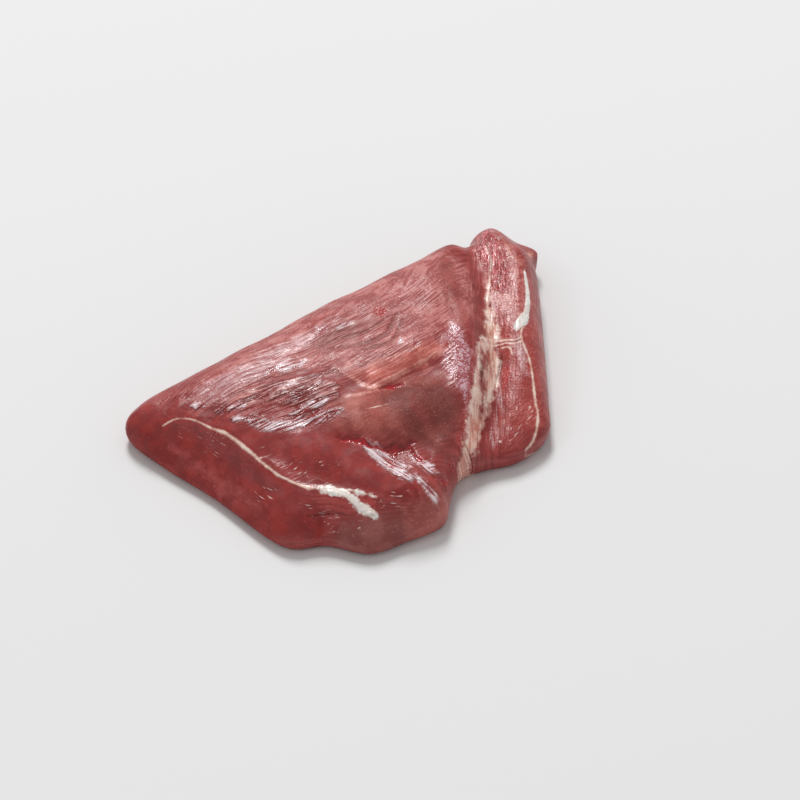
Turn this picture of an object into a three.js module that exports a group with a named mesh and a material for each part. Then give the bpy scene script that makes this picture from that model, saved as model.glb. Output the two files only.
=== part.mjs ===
// A raw boneless beef shoulder, one cut of meat lying on its flat underside.
// Millimetres, +Z up. X runs along the cut from the pointed nose to the end strip,
// Y from the tall front muscle to the long far side.
import * as THREE from "three";
import { mergeVertices } from "three/addons/utils/BufferGeometryUtils.js";

const MEAT_COLOUR = 0xa84a46;
const MEAT_ROUGHNESS = 0.42;

// The outline at the widest level, going round from the nose along the cut face.
// x, y, height of the widest line, width of the rising side, fullness of that side
// (1 is a straight slope, 2 is a quarter round).
const OUTLINE = [
  [-127, 49, 8, 12, 1.9], // nose
  [-122, 22, 6, 18, 1.3],
  [-113, -8, 5, 21, 1.25],
  [-103, -53, 6, 20, 1.4], // foot of the cut face
  [-85, -65, 6, 17, 1.4],
  [-70, -81, 6, 15, 1.5],
  [-50, -84, 6, 17, 1.5],
  [-31, -85, 8, 11, 1.7], // front corner
  [-21, -76, 10, 9, 1.8],
  [-8, -64, 8, 12, 1.6], // nook between the front muscle and the end strip
  [8, -64, 8, 18, 1.8],
  [25, -68, 8, 20, 1.8],
  [44, -63, 9, 18, 1.8], // foot of the end strip
  [56, -46, 9, 14, 1.8],
  [95, 20, 10, 12, 1.9],
  [103, 36, 10, 10, 1.9],
  [111, 46, 12, 7, 1.4], // flap
  [106, 57, 12, 14, 1.5],
  [97, 67, 14, 12, 1.8],
  [85, 66, 14, 12, 1.8],
  [77, 61, 12, 16, 1.8], // nook of the far side
  [67, 63, 16, 18, 1.9],
  [32, 60, 16, 24, 1.9],
  [-48, 58, 14, 26, 1.9],
  [-88, 58, 10, 22, 1.9],
  [-114, 58, 8, 16, 1.9],
];
const OUTLINE_PIECES = 300;
// Where the four corners of the top's grid fall, as shares of the way round.
const CORNER_SHARES = [0, 0.205, 0.5, 0.7, 1];
const CENTRE = [-8, -8];

// Lines of equal form along the top: how far each reaches, the mounds along it,
// and x, y, height of the points it passes.
const CRESTS = [
  { name: "nose", reach: 9, mounds: 1, points: [[-116, 46, 18]] },
  {
    name: "cut edge",
    reach: 8,
    mounds: 7,
    points: [[-110, 34, 19], [-96, 2, 25], [-86, -34, 24], [-62, -72, 18]],
  },
  {
    name: "fibre ridge",
    reach: 9,
    mounds: 7,
    points: [[-104, 40, 26], [-90, 14, 32], [-66, -30, 33], [-48, -60, 27]],
  },
  {
    name: "far crown",
    reach: 17,
    mounds: 4,
    points: [[-88, 44, 31], [-60, 38, 35], [-20, 26, 41], [20, 28, 41]],
  },
  {
    name: "middle crown",
    reach: 14,
    mounds: 3,
    points: [[-70, 18, 37], [-50, -8, 37], [-5, 5, 43]],
  },
  {
    name: "brown sheet",
    reach: 10,
    mounds: 3,
    points: [[-26, -8, 41], [-22, -28, 37], [0, -28, 37]],
  },
  { name: "front muscle", reach: 8, mounds: 2, points: [[-38, -66, 27], [-29, -76, 24]] },
  {
    name: "ridge",
    reach: 9,
    mounds: 8,
    points: [[52, 48, 39], [38, 25, 42], [22, -10, 41], [4, -42, 31], [-10, -54, 25]],
  },
  {
    name: "end strip",
    reach: 9,
    mounds: 8,
    points: [[91, 57, 28], [84, 34, 30], [68, 0, 29], [50, -36, 24], [22, -58, 15]],
  },
  { name: "flap", reach: 6, mounds: 1, points: [[105, 49, 14]] },
];

// Grooves and steps between the muscles: depth, width to the left and to the right
// of the way along it, and the x, y of the points it passes.
const GROOVES = [
  {
    name: "valley beside the end strip",
    depth: 6,
    left: 8,
    right: 9,
    points: [[72, 60], [68, 48], [60, 32], [53, 14], [45, -8], [33, -28], [19, -44], [6, -56], [-6, -66]],
  },
  {
    name: "step at the ridge",
    depth: 2.5,
    left: 6,
    right: 3.5,
    points: [[49, 50], [43, 36], [34, 16], [28, 2], [22, -10]],
  },
  {
    name: "crevice above the front muscle",
    depth: 3.5,
    left: 5,
    right: 8,
    points: [[-57, -28], [-50, -35], [-43, -43], [-36, -50], [-30, -60]],
  },
  {
    name: "edge of the brown sheet",
    depth: 1.5,
    left: 4,
    right: 9,
    points: [[-31, -2], [-30, -8], [-25, -17], [-20, -18], [-12, -19], [1, -17], [12, -15]],
  },
];
const GROOVE_RUN_IN = 0.15; // share of a groove's length over which its ends die away

// Slow swells in the surface: height, length of the swell, direction and start in radians.
const SWELLS = [
  { height: 0.45, length: 47, turn: 0.4, start: 0.8 },
  { height: 0.4, length: 31, turn: 1.5, start: 2.1 },
  { height: 0.3, length: 22, turn: 2.5, start: 4.4 },
];

const UNDERSIDE_TUCK = 5; // how far the flat underside lies inside the widest line
const TOP_INNER = 0.9; // size of the top's grid next to the outline
const GRID_ALONG = 50;
const GRID_ACROSS = 32;
const RISING_RINGS = 5;
const TUCK_RINGS = 4;

// The smooth curve's point a share t of the way from b to c, with a and d beyond them.
function splinePoint(a, b, c, d, t) {
  return b.map((value, k) => {
    const slope = c[k] - a[k];
    const bend = 2 * a[k] - 5 * value + 4 * c[k] - d[k];
    const twist = 3 * value - a[k] - 3 * c[k] + d[k];
    return 0.5 * (2 * value + slope * t + bend * t ** 2 + twist * t ** 3);
  });
}

// Rows spread evenly by length along a chain of points, at the given shares of it.
function spreadAlong(chain, shares) {
  const travelled = [0];
  for (let k = 1; k < chain.length; k++) {
    const step = Math.hypot(chain[k][0] - chain[k - 1][0], chain[k][1] - chain[k - 1][1]);
    travelled.push(travelled[k - 1] + step);
  }
  const whole = travelled[chain.length - 1];
  return shares.map((share) => {
    const wanted = share * whole;
    let k = 1;
    while (k < chain.length - 1 && travelled[k] < wanted) {
      k++;
    }
    const t = (wanted - travelled[k - 1]) / (travelled[k] - travelled[k - 1]);
    return chain[k].map((value, i) => chain[k - 1][i] + (value - chain[k - 1][i]) * t);
  });
}

function evenShares(count) {
  return Array.from({ length: count }, (_, k) => k / (count - 1));
}

function closedChain(points, perPiece) {
  const chain = [];
  const n = points.length;
  for (let k = 0; k < n; k++) {
    for (let j = 0; j < perPiece; j++) {
      const around = [points[(k + n - 1) % n], points[k], points[(k + 1) % n], points[(k + 2) % n]];
      chain.push(splinePoint(...around, j / perPiece));
    }
  }
  chain.push(chain[0]);
  return chain;
}

function openChain(points, perPiece) {
  const beyond = (end, next) => end.map((value, k) => 2 * value - next[k]);
  const last = points.length - 1;
  const rows = [beyond(points[0], points[1]), ...points, beyond(points[last], points[last - 1])];
  const chain = [];
  for (let k = 1; k <= last; k++) {
    for (let j = 0; j < perPiece; j++) {
      chain.push(splinePoint(rows[k - 1], rows[k], rows[k + 1], rows[k + 2], j / perPiece));
    }
  }
  chain.push(points[last]);
  return chain;
}

const outlineChain = closedChain(OUTLINE, 24);
const outline = spreadAlong(outlineChain, evenShares(OUTLINE_PIECES + 1));

// The distance to the outline and the outline's own values, blended round it.
// Each piece counts by one over the fourth power of the distance, summed along its length,
// which turns back into the plain distance beside a long straight edge.
function fromOutline(x, y) {
  const nearest = 0.02;
  let total = 0;
  const blend = [0, 0, 0];
  for (let k = 0; k < OUTLINE_PIECES; k++) {
    const a = outline[k];
    const b = outline[k + 1];
    const length = Math.hypot(b[0] - a[0], b[1] - a[1]);
    const along = [(b[0] - a[0]) / length, (b[1] - a[1]) / length];
    const start = -((x - a[0]) * along[0] + (y - a[1]) * along[1]);
    const end = start + length;
    const off = Math.max(Math.abs((y - a[1]) * along[0] - (x - a[0]) * along[1]), nearest);
    const near = (s) => s / (2 * off ** 2 * (off ** 2 + s ** 2)) + Math.atan(s / off) / (2 * off ** 3);
    const weight = Math.max(near(end) - near(start), 0);
    total += weight;
    for (let i = 0; i < 3; i++) {
      blend[i] += (weight * (a[i + 2] + b[i + 2])) / 2;
    }
  }
  const distance = ((2 / Math.PI) * total) ** (-1 / 3);
  const [level, width, fullness] = blend.map((sum) => sum / total);
  return { distance, level, width, fullness };
}

const mounds = CRESTS.flatMap(({ reach, mounds: count, points }) => {
  const rows = count === 1 ? points : spreadAlong(openChain(points, 14), evenShares(count));
  return rows.map(([x, y, height]) => ({ x, y, height, reach }));
});

// The height of the muscles at a place, weighed from the mounds around it.
function crownHeight(x, y) {
  let total = 0;
  let sum = 0;
  for (const mound of mounds) {
    const apart = (x - mound.x) ** 2 + (y - mound.y) ** 2;
    const weight = Math.exp(-apart / (2 * mound.reach ** 2)) + 1e-9;
    total += weight;
    sum += weight * mound.height;
  }
  return sum / total;
}

function easeInOut(share) {
  const t = Math.min(Math.max(share, 0), 1);
  return t * t * (3 - 2 * t);
}

const grooves = GROOVES.map((groove) => {
  const chain = openChain(groove.points, 14);
  return { ...groove, chain: spreadAlong(chain, evenShares(60)) };
});

// How deep a groove is at a place: a soft bell across it, dying away at both ends.
function grooveDepth(groove, x, y) {
  let best = Infinity;
  let share = 0;
  let side = 1;
  const pieces = groove.chain.length - 1;
  for (let k = 0; k < pieces; k++) {
    const [ax, ay] = groove.chain[k];
    const [bx, by] = groove.chain[k + 1];
    const dx = bx - ax;
    const dy = by - ay;
    const t = Math.min(Math.max(((x - ax) * dx + (y - ay) * dy) / (dx ** 2 + dy ** 2), 0), 1);
    const offX = x - ax - dx * t;
    const offY = y - ay - dy * t;
    const apart = Math.hypot(offX, offY);
    if (apart < best) {
      best = apart;
      share = (k + t) / pieces;
      side = Math.sign(dx * offY - dy * offX);
    }
  }
  const width = side > 0 ? groove.left : groove.right;
  const ends = easeInOut(share / GROOVE_RUN_IN) * easeInOut((1 - share) / GROOVE_RUN_IN);
  return groove.depth * ends * Math.exp(-((best / width) ** 2));
}

function swellHeight(x, y) {
  return SWELLS.reduce((sum, { height, length, turn, start }) => {
    const way = x * Math.cos(turn) + y * Math.sin(turn);
    return sum + height * Math.sin((2 * Math.PI * way) / length + start);
  }, 0);
}

// The top surface: the side rises from the widest line and rounds over into the muscles.
function topHeight(x, y) {
  const { distance, level, width, fullness } = fromOutline(x, y);
  const inward = Math.min(distance / width, 1);
  const rise = (1 - (1 - inward) ** fullness) ** (1 / fullness);
  const carved = grooves.reduce((sum, groove) => sum + grooveDepth(groove, x, y), 0);
  const crown = crownHeight(x, y) - carved + swellHeight(x, y);
  return level + Math.max(crown - level, 1) * rise;
}

// Loop of points round the outline, cut so that the corners of the top's grid are in it.
function outlineLoop() {
  const counts = [GRID_ACROSS, GRID_ALONG, GRID_ACROSS, GRID_ALONG];
  const shares = counts.flatMap((count, side) => {
    const from = CORNER_SHARES[side];
    const to = CORNER_SHARES[side + 1];
    return Array.from({ length: count }, (_, k) => from + ((to - from) * k) / count);
  });
  return spreadAlong(outlineChain, shares);
}

const loop = outlineLoop();

function scaledLoop(size) {
  return loop.map(([x, y]) => [CENTRE[0] + (x - CENTRE[0]) * size, CENTRE[1] + (y - CENTRE[1]) * size]);
}

// The top's grid: its four edges follow the loop, and the inside is blended from them.
function topGrid() {
  const inner = scaledLoop(TOP_INNER);
  inner.push(inner[0]);
  const farCorner = 2 * GRID_ACROSS + GRID_ALONG;
  const left = inner.slice(0, GRID_ACROSS + 1).reverse();
  const lower = inner.slice(GRID_ACROSS, GRID_ACROSS + GRID_ALONG + 1);
  const right = inner.slice(GRID_ACROSS + GRID_ALONG, farCorner + 1);
  const upper = inner.slice(farCorner).reverse();
  const rows = [];
  for (let j = 0; j <= GRID_ACROSS; j++) {
    const v = j / GRID_ACROSS;
    const row = [];
    for (let i = 0; i <= GRID_ALONG; i++) {
      const u = i / GRID_ALONG;
      const [x, y] = [0, 1].map((k) => {
        const acrossBlend = (1 - v) * lower[i][k] + v * upper[i][k];
        const alongBlend = (1 - u) * left[j][k] + u * right[j][k];
        const lowerCorners = (1 - u) * lower[0][k] + u * lower[GRID_ALONG][k];
        const upperCorners = (1 - u) * upper[0][k] + u * upper[GRID_ALONG][k];
        return acrossBlend + alongBlend - (1 - v) * lowerCorners - v * upperCorners;
      });
      row.push([x, y, topHeight(x, y)]);
    }
    rows.push(row);
  }
  return rows;
}

// Rings from the edge of the grid down to the underside.
function sideRings() {
  const rings = [];
  for (let k = 0; k < RISING_RINGS; k++) {
    const size = TOP_INNER + (1 - TOP_INNER) * Math.sin(((k / RISING_RINGS) * Math.PI) / 2);
    rings.push(scaledLoop(size).map(([x, y]) => [x, y, topHeight(x, y)]));
  }
  rings.push(loop.map(([x, y, level]) => [x, y, level]));
  for (let k = 1; k <= TUCK_RINGS; k++) {
    const angle = ((k / TUCK_RINGS) * Math.PI) / 2;
    const tuck = UNDERSIDE_TUCK * (1 - Math.cos(angle));
    const ring = loop.map(([x, y, level]) => {
      const reach = Math.hypot(x - CENTRE[0], y - CENTRE[1]);
      const size = 1 - tuck / reach;
      return [CENTRE[0] + (x - CENTRE[0]) * size, CENTRE[1] + (y - CENTRE[1]) * size, level * (1 - Math.sin(angle))];
    });
    rings.push(ring);
  }
  return rings;
}

function meatGeometry() {
  const positions = [];
  const triangle = (a, b, c) => positions.push(...a, ...b, ...c);
  const rings = sideRings();
  const count = loop.length;
  const foot = rings[rings.length - 1];
  const middleOfFoot = [...CENTRE, 0];
  for (let i = 0; i < count; i++) {
    triangle(foot[i], middleOfFoot, foot[(i + 1) % count]);
  }
  for (let k = 1; k < rings.length; k++) {
    for (let i = 0; i < count; i++) {
      const next = (i + 1) % count;
      triangle(rings[k - 1][i], rings[k][i], rings[k][next]);
      triangle(rings[k - 1][i], rings[k][next], rings[k - 1][next]);
    }
  }
  const grid = topGrid();
  for (let j = 0; j < GRID_ACROSS; j++) {
    for (let i = 0; i < GRID_ALONG; i++) {
      triangle(grid[j][i], grid[j][i + 1], grid[j + 1][i + 1]);
      triangle(grid[j][i], grid[j + 1][i + 1], grid[j + 1][i]);
    }
  }
  const geometry = new THREE.BufferGeometry();
  geometry.setAttribute("position", new THREE.Float32BufferAttribute(positions, 3));
  const closed = mergeVertices(geometry, 1e-3);
  closed.computeBoundingBox();
  const middle = closed.boundingBox.getCenter(new THREE.Vector3());
  closed.translate(-middle.x, -middle.y, -closed.boundingBox.min.z);
  closed.computeVertexNormals();
  return closed;
}

const material = new THREE.MeshStandardMaterial({ color: MEAT_COLOUR, roughness: MEAT_ROUGHNESS });
const shoulder = new THREE.Mesh(meatGeometry(), material);
shoulder.name = "beef_shoulder";

const part = new THREE.Group();
part.name = "boneless_beef_shoulder";
part.add(shoulder);

export default part;
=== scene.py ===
"""A raw boneless beef shoulder on a pale floor, in metres, in the frame of its solid."""

import math

import bpy
import numpy as np
from mathutils import Matrix, Vector


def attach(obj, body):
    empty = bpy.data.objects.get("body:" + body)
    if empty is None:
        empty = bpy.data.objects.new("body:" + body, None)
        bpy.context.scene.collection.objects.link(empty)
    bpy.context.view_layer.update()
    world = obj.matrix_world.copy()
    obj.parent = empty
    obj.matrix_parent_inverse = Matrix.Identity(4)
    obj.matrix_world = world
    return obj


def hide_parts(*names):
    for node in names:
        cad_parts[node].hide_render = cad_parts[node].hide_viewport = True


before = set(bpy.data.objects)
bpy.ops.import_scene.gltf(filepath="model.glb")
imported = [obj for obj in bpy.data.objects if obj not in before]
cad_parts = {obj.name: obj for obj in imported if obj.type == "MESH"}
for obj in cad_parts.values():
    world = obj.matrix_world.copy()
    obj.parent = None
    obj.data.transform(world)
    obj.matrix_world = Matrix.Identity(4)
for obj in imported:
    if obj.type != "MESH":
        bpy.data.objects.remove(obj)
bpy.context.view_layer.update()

# The view. The camera looks down over the long cut face from the near left, far off and with
# a long lens, so the piece shows almost without perspective. The turn is from a look straight along
# y, and the rise is above the floor.
VIEW_TURN = math.radians(-32.92)
VIEW_RISE = math.radians(43.45)
VIEW_DISTANCE = 2.453
VIEW_CENTRE = Vector((0.0096, 0.0122, 0.0))
VIEW_LENS = 225.0

view_right = Vector((math.cos(VIEW_TURN), math.sin(VIEW_TURN), 0.0))
view_back = Vector((
    math.sin(VIEW_TURN) * math.cos(VIEW_RISE),
    -math.cos(VIEW_TURN) * math.cos(VIEW_RISE),
    math.sin(VIEW_RISE),
))
axes = Matrix((view_right, view_back.cross(view_right), view_back)).transposed()
camera = bpy.data.objects.new("camera", bpy.data.cameras.new("camera"))
camera.data.lens = VIEW_LENS
camera.data.clip_start = 0.1
camera.data.clip_end = 20.0
camera.matrix_world = Matrix.Translation(VIEW_CENTRE + view_back * VIEW_DISTANCE) @ axes.to_4x4()
bpy.context.scene.collection.objects.link(camera)
bpy.context.scene.camera = camera
bpy.context.scene.view_settings.view_transform = "Standard"

# The light. A large soft box hangs high behind the piece, so that its shine breaks up on the wet
# fibres and the near faces stay darker. A small weak one stands on the left, for the slopes that
# face it, and the room itself is evenly pale.
SOFT_BOXES = {
    "high": dict(towards=(0.24, 0.57, 0.79), distance=5.0, size=(1.25, 1.9), power=165.0),
    "left": dict(towards=(-0.72, 0.05, 0.69), distance=2.6, size=(0.3, 0.3), power=3.0),
}
ROOM_STRENGTH = 0.45

for name, row in SOFT_BOXES.items():
    lamp = bpy.data.lights.new(name, "AREA")
    lamp.shape = "RECTANGLE"
    lamp.size, lamp.size_y = row["size"]
    lamp.energy = row["power"]
    towards = Vector(row["towards"]).normalized()
    lamp_object = bpy.data.objects.new(name, lamp)
    lamp_object.location = towards * row["distance"]
    lamp_object.rotation_euler = towards.to_track_quat("Z", "Y").to_euler()
    bpy.context.scene.collection.objects.link(lamp_object)
room = bpy.data.worlds.new("room")
room.use_nodes = True
room.node_tree.nodes["Background"].inputs["Color"].default_value = (1.0, 1.0, 1.0, 1.0)
room.node_tree.nodes["Background"].inputs["Strength"].default_value = ROOM_STRENGTH
bpy.context.scene.world = room

# The floor: a plain pale matt sheet that the piece lies on.
FLOOR_HALF = 4.0
FLOOR_PAINT = (0.82, 0.82, 0.82, 1.0)
FLOOR_ROUGHNESS = 0.9

floor_mesh = bpy.data.meshes.new("floor")
corners = np.array(((-1, -1, 0), (1, -1, 0), (1, 1, 0), (-1, 1, 0))) * FLOOR_HALF
floor_mesh.from_pydata(corners.tolist(), [], [(0, 1, 2, 3)])
floor = bpy.data.objects.new("floor", floor_mesh)
bpy.context.scene.collection.objects.link(floor)
floor_paint = bpy.data.materials.new("floor_paint")
floor_paint.use_nodes = True
floor_shader = floor_paint.node_tree.nodes["Principled BSDF"]
floor_shader.inputs["Base Color"].default_value = FLOOR_PAINT
floor_shader.inputs["Roughness"].default_value = FLOOR_ROUGHNESS
floor_shader.inputs["Specular IOR Level"].default_value = 0.0
floor_mesh.materials.append(floor_paint)

# The beef shoulder: one piece of raw muscle, trimmed by hand and still wet. A long sloping cut
# face runs down its near side, sheets of sinew and a seam of fat lie between the muscles on top,
# and a flat strip of muscle closes the far end.
# Lengths from here on are in millimetres, as they are in the solid, until they go into the mesh.
# An outline row is x, y, the height of the widest line, the width over which the side rounds in
# above it, and how full that rounding is.
OUTLINE = np.array([
    (-127, 49, 8, 12, 1.9),
    (-122, 22, 6, 18, 1.3),
    (-113, -8, 5, 21, 1.25),
    (-103, -53, 6, 20, 1.4),
    (-85, -65, 6, 17, 1.4),
    (-70, -81, 6, 15, 1.5),
    (-50, -84, 6, 17, 1.5),
    (-31, -85, 8, 11, 1.7),
    (-21, -76, 10, 9, 1.8),
    (-8, -64, 8, 12, 1.6),
    (8, -64, 8, 18, 1.8),
    (25, -68, 8, 20, 1.8),
    (44, -63, 9, 18, 1.8),
    (56, -46, 9, 14, 1.8),
    (95, 20, 10, 12, 1.9),
    (103, 36, 10, 10, 1.9),
    (111, 46, 12, 7, 1.4),
    (106, 57, 12, 14, 1.5),
    (97, 67, 14, 12, 1.8),
    (85, 66, 14, 12, 1.8),
    (77, 61, 12, 16, 1.8),
    (67, 63, 16, 18, 1.9),
    (32, 60, 16, 24, 1.9),
    (-48, 58, 14, 26, 1.9),
    (-88, 58, 10, 22, 1.9),
    (-114, 58, 8, 16, 1.9),
], float)
OUTLINE_PIECES = 300
LEAST_DISTANCE = 0.02
# The muscles' crests: reach, number of mounds, and points with their heights. Far from all of them
# the faint weight gives their mean.
CRESTS = (
    (9, 1, [(-116, 46, 18)]),
    (8, 7, [(-110, 34, 19), (-96, 2, 25), (-86, -34, 24), (-62, -72, 18)]),
    (9, 7, [(-104, 40, 26), (-90, 14, 32), (-66, -30, 33), (-48, -60, 27)]),
    (17, 4, [(-88, 44, 31), (-60, 38, 35), (-20, 26, 41), (20, 28, 41)]),
    (14, 3, [(-70, 18, 37), (-50, -8, 37), (-5, 5, 43)]),
    (10, 3, [(-26, -8, 41), (-22, -28, 37), (0, -28, 37)]),
    (8, 2, [(-38, -66, 27), (-29, -76, 24)]),
    (9, 8, [(52, 48, 39), (38, 25, 42), (22, -10, 41), (4, -42, 31), (-10, -54, 25)]),
    (9, 8, [(91, 57, 28), (84, 34, 30), (68, 0, 29), (50, -36, 24), (22, -58, 15)]),
    (6, 1, [(105, 49, 14)]),
)
FAINT = 1e-9
# The grooves between them: depth, reach to the left and to the right of the way along, points.
# In order, the valley beside the end strip, the step at the ridge, the crevice above the front
# muscle, and the edge of the crown's sheet. Each dies away over the run-in, a share of its length.
GROOVES = (
    (6.0, 8, 9, [(72, 60), (68, 48), (60, 32), (53, 14), (45, -8), (33, -28), (19, -44), (6, -56),
                 (-6, -66)]),
    (2.5, 6, 3.5, [(49, 50), (43, 36), (34, 16), (28, 2), (22, -10)]),
    (3.5, 5, 8, [(-57, -28), (-50, -35), (-43, -43), (-36, -50), (-30, -60)]),
    (1.5, 4, 9, [(-31, -2), (-30, -8), (-25, -17), (-20, -18), (-12, -19), (1, -17), (12, -15)]),
)
GROOVE_RUN_IN = 0.15
# Slow waves: height, length, and in radians the way each runs and where it starts.
SWELLS = ((0.45, 47, 0.4, 0.8), (0.4, 31, 1.5, 2.1), (0.3, 22, 2.5, 4.4))
# The top stands at least so much above the widest line. Noise repeats after so many cells.
LEAST_RISE = 1.0
LATTICE = 256


def chain(points, closed, per_piece=24):
    """A smooth curve through the points: between two of them, the cubic whose slope at each is
    half the way from the point before it to the point after it."""
    p = np.asarray(points, float)
    if closed:
        around = np.vstack([p[-1:], p, p[:2]])
    else:
        around = np.vstack([2 * p[:1] - p[1:2], p, 2 * p[-1:] - p[-2:-1]])
    a, b, c, d = (around[k:len(around) - 3 + k, None] for k in range(4))
    t = np.arange(per_piece)[None, :, None] / per_piece
    rows = 2 * b + (c - a) * t + (2 * a - 5 * b + 4 * c - d) * t**2 + (3 * b - a - 3 * c + d) * t**3
    rows = rows.reshape(-1, p.shape[1]) / 2
    return np.vstack([rows, p[:1] if closed else p[-1:]])


def spread(rows, shares):
    """The rows at the given shares of a curve's length in plan, straight between its points."""
    steps = np.hypot(*np.diff(rows[:, :2], axis=0).T)
    travelled = np.concatenate([[0.0], np.cumsum(steps)])
    at = np.asarray(shares) * travelled[-1]
    return np.stack([np.interp(at, travelled, column) for column in rows.T], 1)


outline_curve = chain(OUTLINE, True)
outline_rows = spread(outline_curve, np.linspace(0, 1, OUTLINE_PIECES + 1))


def from_outline(x, y):
    """The distance to the outline, and the outline's values there. Each piece of the outline
    counts by one over the fourth power of the distance to it, summed along the piece, and the
    distance is that to a straight line with the same sum."""
    total = np.zeros_like(x)
    blend = np.zeros((3, *x.shape))
    for a, b in zip(outline_rows[:-1], outline_rows[1:]):
        length = math.hypot(b[0] - a[0], b[1] - a[1])
        ux, uy = (b[0] - a[0]) / length, (b[1] - a[1]) / length
        start = (a[0] - x) * ux + (a[1] - y) * uy
        off = np.maximum(np.abs((y - a[1]) * ux - (x - a[0]) * uy), LEAST_DISTANCE)
        ends = [s / (2 * off**2 * (off**2 + s**2)) + np.arctan(s / off) / (2 * off**3)
                for s in (start, start + length)]
        weight = np.maximum(ends[1] - ends[0], 0.0)
        total += weight
        blend += weight * ((a[2:] + b[2:]) / 2)[:, None]
    return (total * 2 / math.pi) ** (-1 / 3), blend / total


def crown_height(x, y):
    """The height of the muscles: the mean height of the mounds, each weighed by e to the minus
    half the square of the distance to it over its reach."""
    total = np.full_like(x, FAINT)
    summed = np.zeros_like(x)
    for reach, count, points in CRESTS:
        mounds = np.array(points, float)
        if count > 1:
            mounds = spread(chain(points, False), np.linspace(0, 1, count))
        for mound_x, mound_y, height in mounds:
            weight = np.exp(-((x - mound_x) ** 2 + (y - mound_y) ** 2) / (2 * reach**2)) + FAINT
            total += weight
            summed += weight * height
    return summed / total


def ease(t):
    """0 below 0, 1 above 1, and three t squared less two t cubed between."""
    t = np.clip(t, 0.0, 1.0)
    return t * t * (3 - 2 * t)


def beside(points, x, y, pieces=60):
    """A smooth line's nearest row to each place, the distance to it, the share of the line's
    length there, and 1 on the left of the way along or -1 on the right."""
    rows = spread(chain(points, False), np.linspace(0, 1, pieces + 1))
    distance = np.full_like(x, np.inf)
    share = np.zeros_like(x)
    side = np.ones_like(x)
    for k, (a, b) in enumerate(zip(rows[:-1], rows[1:])):
        dx, dy = b[:2] - a[:2]
        t = np.clip(((x - a[0]) * dx + (y - a[1]) * dy) / (dx * dx + dy * dy), 0.0, 1.0)
        off_x, off_y = x - a[0] - dx * t, y - a[1] - dy * t
        apart = np.hypot(off_x, off_y)
        nearer = apart < distance
        distance = np.where(nearer, apart, distance)
        share = np.where(nearer, (k + t) / pieces, share)
        side = np.where(nearer, np.where(dx * off_y > dy * off_x, 1.0, -1.0), side)
    nearest = [np.interp(share, np.linspace(0, 1, pieces + 1), column) for column in rows.T]
    return nearest, distance, share, side


def noise(x, y, size, seed):
    """Smooth noise from -1 to 1: random numbers on a square lattice, each place blending the
    four round it with eased weights."""
    table = np.random.default_rng(seed).uniform(-1, 1, (LATTICE + 1, LATTICE + 1))
    column, row = np.floor(x / size).astype(int), np.floor(y / size).astype(int)
    s, t = ease(x / size - column), ease(y / size - row)
    column, row = column % LATTICE, row % LATTICE
    near = table[column, row] * (1 - s) + table[column + 1, row] * s
    far = table[column, row + 1] * (1 - s) + table[column + 1, row + 1] * s
    return near * (1 - t) + far * t


def groove_depth(x, y, grooves):
    """The grooves' depth: across each one e to the minus square of the distance over the reach on
    that side, dying away towards both its ends."""
    summed = np.zeros_like(x)
    for depth, left, right, points in grooves:
        _, distance, share, side = beside(points, x, y)
        ends = ease(share / GROOVE_RUN_IN) * ease((1 - share) / GROOVE_RUN_IN)
        summed += depth * ends * np.exp(-((distance / np.where(side > 0, left, right)) ** 2))
    return summed


def swell_height(x, y):
    """Slow waves in the surface: the sum of sines, each running in its own direction."""
    return sum(height * np.sin(2 * math.pi * (x * math.cos(turn) + y * math.sin(turn)) / length + start)
               for height, length, turn, start in SWELLS)


def top_height(x, y):
    """The side rises from the widest line and rounds over into the muscles. The share of that
    rise, which is the second result, is 1 less the way left to the top to the power of the
    fullness, to the power of one over the fullness."""
    distance, (level, width, fullness) = from_outline(x, y)
    inward = np.minimum(distance / width, 1.0)
    rise = (1 - (1 - inward) ** fullness) ** (1 / fullness)
    crown = crown_height(x, y) - groove_depth(x, y, GROOVES) + swell_height(x, y)
    return level + np.maximum(crown - level, LEAST_RISE) * rise, rise


# The surface's grid. A patch over the top has four edges that follow the outline, drawn in towards
# the middle. Rings then go out to the outline, round under it by the tuck, and in to the middle of
# the flat underside.
MIDDLE = np.array((-8.0, -8.0))
CORNER_SHARES = (0.0, 0.205, 0.5, 0.7, 1.0)
TOP_INNER = 0.9
UNDERSIDE_TUCK = 5.0
ACROSS = 214
ALONG = 320
RISING_RINGS = 14
TUCKED_RINGS = 6
SOLE_RINGS = (0.8, 0.45, 0.15)

edge_shares = np.concatenate([
    np.linspace(CORNER_SHARES[k], CORNER_SHARES[k + 1], count, endpoint=False)
    for k, count in enumerate((ACROSS, ALONG, ACROSS, ALONG))
])
loop = spread(outline_curve, edge_shares)
inner = MIDDLE + (loop[:, :2] - MIDDLE) * TOP_INNER
inner = np.vstack([inner, inner[:1]])
left = inner[:ACROSS + 1][::-1, None]
near = inner[ACROSS:ACROSS + ALONG + 1][None]
right = inner[ACROSS + ALONG:2 * ACROSS + ALONG + 1][:, None]
far = inner[2 * ACROSS + ALONG:][::-1][None]
s = np.linspace(0, 1, ALONG + 1)[None, :, None]
t = np.linspace(0, 1, ACROSS + 1)[:, None, None]
patch = (1 - t) * near + t * far + (1 - s) * left + s * right
patch -= (1 - t) * ((1 - s) * near[:, :1] + s * near[:, -1:])
patch -= t * ((1 - s) * far[:, :1] + s * far[:, -1:])

ring_turns = np.arange(1, RISING_RINGS) / RISING_RINGS * math.pi / 2
ring_sizes = TOP_INNER + (1 - TOP_INNER) * np.sin(ring_turns)
rising = MIDDLE + (loop[None, :, :2] - MIDDLE) * ring_sizes[:, None, None]
plan = np.concatenate([patch.reshape(-1, 2), rising.reshape(-1, 2)])
top, rise = top_height(plan[:, 0], plan[:, 1])

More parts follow.
